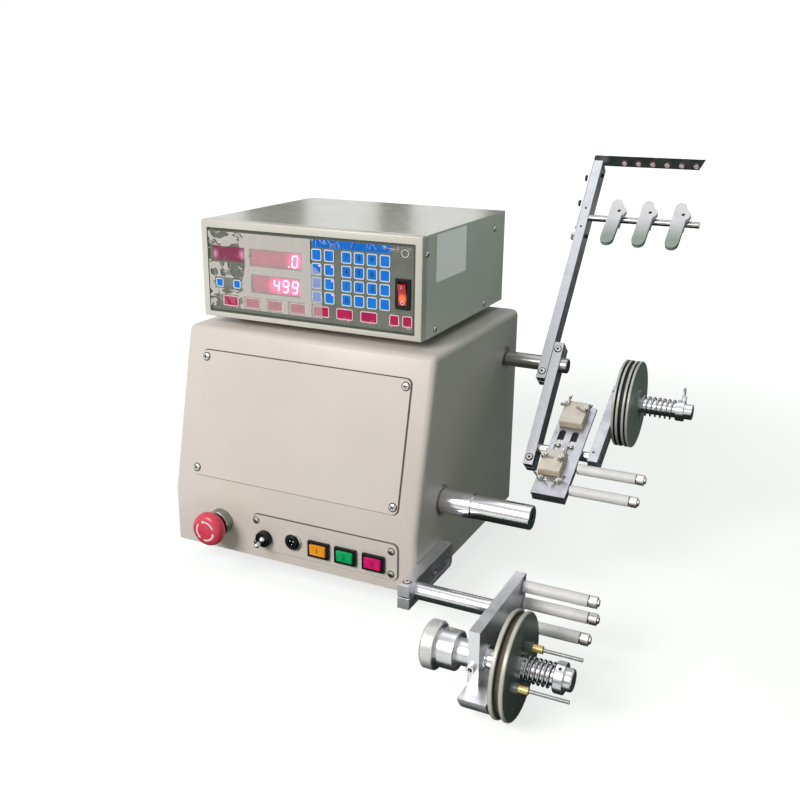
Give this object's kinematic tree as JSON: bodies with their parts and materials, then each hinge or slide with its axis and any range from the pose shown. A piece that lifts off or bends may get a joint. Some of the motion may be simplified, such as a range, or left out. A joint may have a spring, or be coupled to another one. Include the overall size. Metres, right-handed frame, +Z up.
{
  "type": "wire coil winding machine",
  "caption": "Bench wire coil winding machine: sloping cabinet with spindle, keyed control box on top, traversing wire guide with felt tensioner, and a braked dereeling wheel at the side.",
  "frame": {"origin": "middle of the whole machine's underside, level with the soles of its four feet", "axes": "+X to the operator's right along the spindle, +Y from the operator towards the back, +Z up"},
  "size_m": [0.5346, 0.613, 0.4619],
  "materials": {
    "cream_paint": "cream powder coat, lightly textured",
    "grey_paint": "grey-green paint",
    "zinc_sheet": "zinc-plated sheet",
    "aluminium": "satin milled aluminium",
    "ground_steel": "ground and hard-chromed steel",
    "spring_steel": "nickel-plated spring wire",
    "pulley_finish": "anodised aluminium discs",
    "black_plastic": "black moulded plastic",
    "motor_black": "black painted motor",
    "black_rubber": "black rubber",
    "white_nylon": "white nylon",
    "cream_felt": "dense wool felt",
    "panel_film": "grey-green printed membrane film",
    "red_plastic": "red moulded plastic",
    "yellow_plastic": "lit amber lens",
    "green_plastic": "lit green lens",
    "magenta_plastic": "lit magenta lens"
  },
  "bodies": {
    "cabinet": {"cabinet_shell": "cream_paint", "cabinet_tray": "zinc_sheet", "power_inlet": "black_plastic", "foot_front_left": "black_rubber", "foot_front_right": "black_rubber", "foot_rear_left": "black_rubber", "foot_rear_right": "black_rubber", "access_cover": "cream_paint", "switch_plate": "cream_paint", "bezel_yellow": "black_plastic", "bezel_green": "black_plastic", "bezel_magenta": "black_plastic", "pedal_socket": "ground_steel", "toggle_switch_body": "black_plastic", "estop_collar": "aluminium", "box_chassis": "grey_paint", "box_cover": "cream_paint", "box_front_frame": "cream_paint", "key_panel": "panel_film", "rocker_bezel": "black_plastic", "spindle_housing": "aluminium", "drive_motor": "motor_black", "traverse_housing": "aluminium", "traverse_motor": "motor_black"},
    "spindle": {"spindle_shaft": "ground_steel"},
    "traverse": {"traverse_shaft": "ground_steel"},
    "lead_screw": {"lead_screw": "ground_steel"},
    "mast": {"mast_bar": "aluminium", "eyelet_strip": "aluminium", "guide_rod": "ground_steel"},
    "link": {"link_bar": "aluminium", "cross_rod": "ground_steel"},
    "felt_holder": {"felt_plate": "aluminium", "felt_pad_upper": "cream_felt", "felt_pad_lower": "cream_felt"},
    "wheel_arm": {"wheel_arm": "aluminium", "tension_spring": "spring_steel"},
    "tension_wheel": {"tension_wheel": "pulley_finish"},
    "tension_collar": {"tension_collar": "ground_steel"},
    "bracket": {"side_bracket": "aluminium"},
    "brake_arm": {"clamp_rod": "ground_steel", "brake_plate": "aluminium", "brake_spring": "spring_steel"},
    "brake_wheel": {"brake_wheel": "pulley_finish"},
    "brake_knob": {"brake_knob": "aluminium"},
    "brake_nut": {"brake_nut": "ground_steel"},
    "estop_head": {"estop_head": "red_plastic"},
    "power_rocker": {"power_rocker": "red_plastic"},
    "toggle_lever": {"toggle_lever": "ground_steel"},
    "button_yellow": {"button_yellow": "yellow_plastic"},
    "button_green": {"button_green": "green_plastic"},
    "button_magenta": {"button_magenta": "magenta_plastic"},
    "guide_finger_1": {"guide_finger_1": "white_nylon"},
    "guide_finger_2": {"guide_finger_2": "white_nylon"},
    "guide_finger_3": {"guide_finger_3": "white_nylon"},
    "felt_roller_upper": {"felt_roller_upper": "white_nylon"},
    "felt_roller_lower": {"felt_roller_lower": "white_nylon"},
    "brake_roller_upper": {"brake_roller_upper": "white_nylon"},
    "brake_roller_middle": {"brake_roller_middle": "white_nylon"},
    "brake_roller_lower": {"brake_roller_lower": "white_nylon"}
  },
  "joints": [
    {"name": "spindle_spin", "type": "hinge", "parent": "cabinet", "child": "spindle", "pos_m": [0.04775, -0.07957, 0.1146], "axis": [1, 0, 0], "continuous": true},
    {"name": "traverse_slide", "type": "slide", "parent": "cabinet", "child": "traverse", "axis": [1, 0, 0], "range_m": [-0.035, 0.065]},
    {"name": "lead_screw_turn", "type": "hinge", "parent": "cabinet", "child": "lead_screw", "pos_m": [-0.11225, 0.10843, 0.2289], "axis": [1, 0, 0], "continuous": true},
    {"name": "mast_clamp", "type": "hinge", "parent": "traverse", "child": "mast", "pos_m": [0.09425, 0.10843, 0.2289], "axis": [1, 0, 0], "range_deg": [-35, 40]},
    {"name": "link_clamp", "type": "hinge", "parent": "traverse", "child": "link", "pos_m": [0.10675, 0.10843, 0.2289], "axis": [1, 0, 0], "range_deg": [-30, 30]},
    {"name": "felt_holder_clamp", "type": "hinge", "parent": "link", "child": "felt_holder", "pos_m": [0.14225, 0.039, 0.14617], "axis": [1, 0, 0], "range_deg": [-30, 30]},
    {"name": "wheel_arm_clamp", "type": "hinge", "parent": "link", "child": "wheel_arm", "pos_m": [0.17875, 0.039, 0.14617], "axis": [1, 0, 0], "range_deg": [-30, 30]},
    {"name": "tension_wheel_spin", "type": "hinge", "parent": "wheel_arm", "child": "tension_wheel", "pos_m": [0.19475, 0.11695, 0.19117], "axis": [1, 0, 0], "continuous": true},
    {"name": "tension_collar_slide", "type": "slide", "parent": "wheel_arm", "child": "tension_collar", "axis": [1, 0, 0], "range_m": [0, 0.008]},
    {"name": "bracket_slide", "type": "slide", "parent": "cabinet", "child": "bracket", "axis": [0, -1, 0], "range_m": [0, 0.022]},
    {"name": "brake_arm_clamp", "type": "hinge", "parent": "bracket", "child": "brake_arm", "pos_m": [0.04975, -0.17227, 0.053], "axis": [1, 0, 0], "range_deg": [-75, 0]},
    {"name": "brake_wheel_spin", "type": "hinge", "parent": "brake_arm", "child": "brake_wheel", "pos_m": [0.19075, -0.25647, 0.0522], "axis": [1, 0, 0], "continuous": true},
    {"name": "brake_knob_turn", "type": "hinge", "parent": "brake_arm", "child": "brake_knob", "pos_m": [0.12775, -0.25647, 0.0522], "axis": [1, 0, 0], "range_deg": [-135, 135]},
    {"name": "brake_nut_slide", "type": "slide", "parent": "brake_arm", "child": "brake_nut", "axis": [1, 0, 0], "range_m": [0, 0.004]},
    {"name": "estop_press", "type": "slide", "parent": "cabinet", "child": "estop_head", "axis": [0, 1, 0], "range_m": [0, 0.004]},
    {"name": "power_rock", "type": "hinge", "parent": "cabinet", "child": "power_rocker", "pos_m": [-0.0032, -0.08737, 0.3399], "axis": [1, 0, 0], "range_deg": [-16, 0]},
    {"name": "toggle_tilt", "type": "hinge", "parent": "cabinet", "child": "toggle_lever", "pos_m": [-0.14285, -0.15517, 0.0588], "axis": [1, 0, 0], "range_deg": [-28, 0]},
    {"name": "button_yellow_press", "type": "slide", "parent": "cabinet", "child": "button_yellow", "axis": [0, 1, 0], "range_m": [0, 0.002], "stiffness_N_per_m": 400},
    {"name": "button_green_press", "type": "slide", "parent": "cabinet", "child": "button_green", "axis": [0, 1, 0], "range_m": [0, 0.002], "stiffness_N_per_m": 400},
    {"name": "button_magenta_press", "type": "slide", "parent": "cabinet", "child": "button_magenta", "axis": [0, 1, 0], "range_m": [0, 0.002], "stiffness_N_per_m": 400},
    {"name": "guide_finger_1_turn", "type": "hinge", "parent": "mast", "child": "guide_finger_1", "pos_m": [0.13375, 0.23201, 0.38785], "axis": [1, 0, 0], "range_deg": [-60, 60]},
    {"name": "guide_finger_2_turn", "type": "hinge", "parent": "mast", "child": "guide_finger_2", "pos_m": [0.17175, 0.23201, 0.38785], "axis": [1, 0, 0], "range_deg": [-60, 60]},
    {"name": "guide_finger_3_turn", "type": "hinge", "parent": "mast", "child": "guide_finger_3", "pos_m": [0.21125, 0.23201, 0.38785], "axis": [1, 0, 0], "range_deg": [-60, 60]},
    {"name": "felt_roller_upper_spin", "type": "hinge", "parent": "felt_holder", "child": "felt_roller_upper", "pos_m": [0.20175, 0.01522, 0.13936], "axis": [1, 0, 0], "continuous": true},
    {"name": "felt_roller_lower_spin", "type": "hinge", "parent": "felt_holder", "child": "felt_roller_lower", "pos_m": [0.20175, -0.01231, 0.12405], "axis": [1, 0, 0], "continuous": true},
    {"name": "brake_roller_upper_spin", "type": "hinge", "parent": "brake_arm", "child": "brake_roller_upper", "pos_m": [0.20075, -0.15657, 0.0766], "axis": [1, 0, 0], "continuous": true},
    {"name": "brake_roller_middle_spin", "type": "hinge", "parent": "brake_arm", "child": "brake_roller_middle", "pos_m": [0.20075, -0.15257, 0.0562], "axis": [1, 0, 0], "continuous": true},
    {"name": "brake_roller_lower_spin", "type": "hinge", "parent": "brake_arm", "child": "brake_roller_lower", "pos_m": [0.20075, -0.18057, 0.0492], "axis": [1, 0, 0], "continuous": true}
  ],
  "couplings": [
    {"joint": "lead_screw_turn", "follows": "traverse_slide", "rad_per_m": 1256.6}
  ]
}
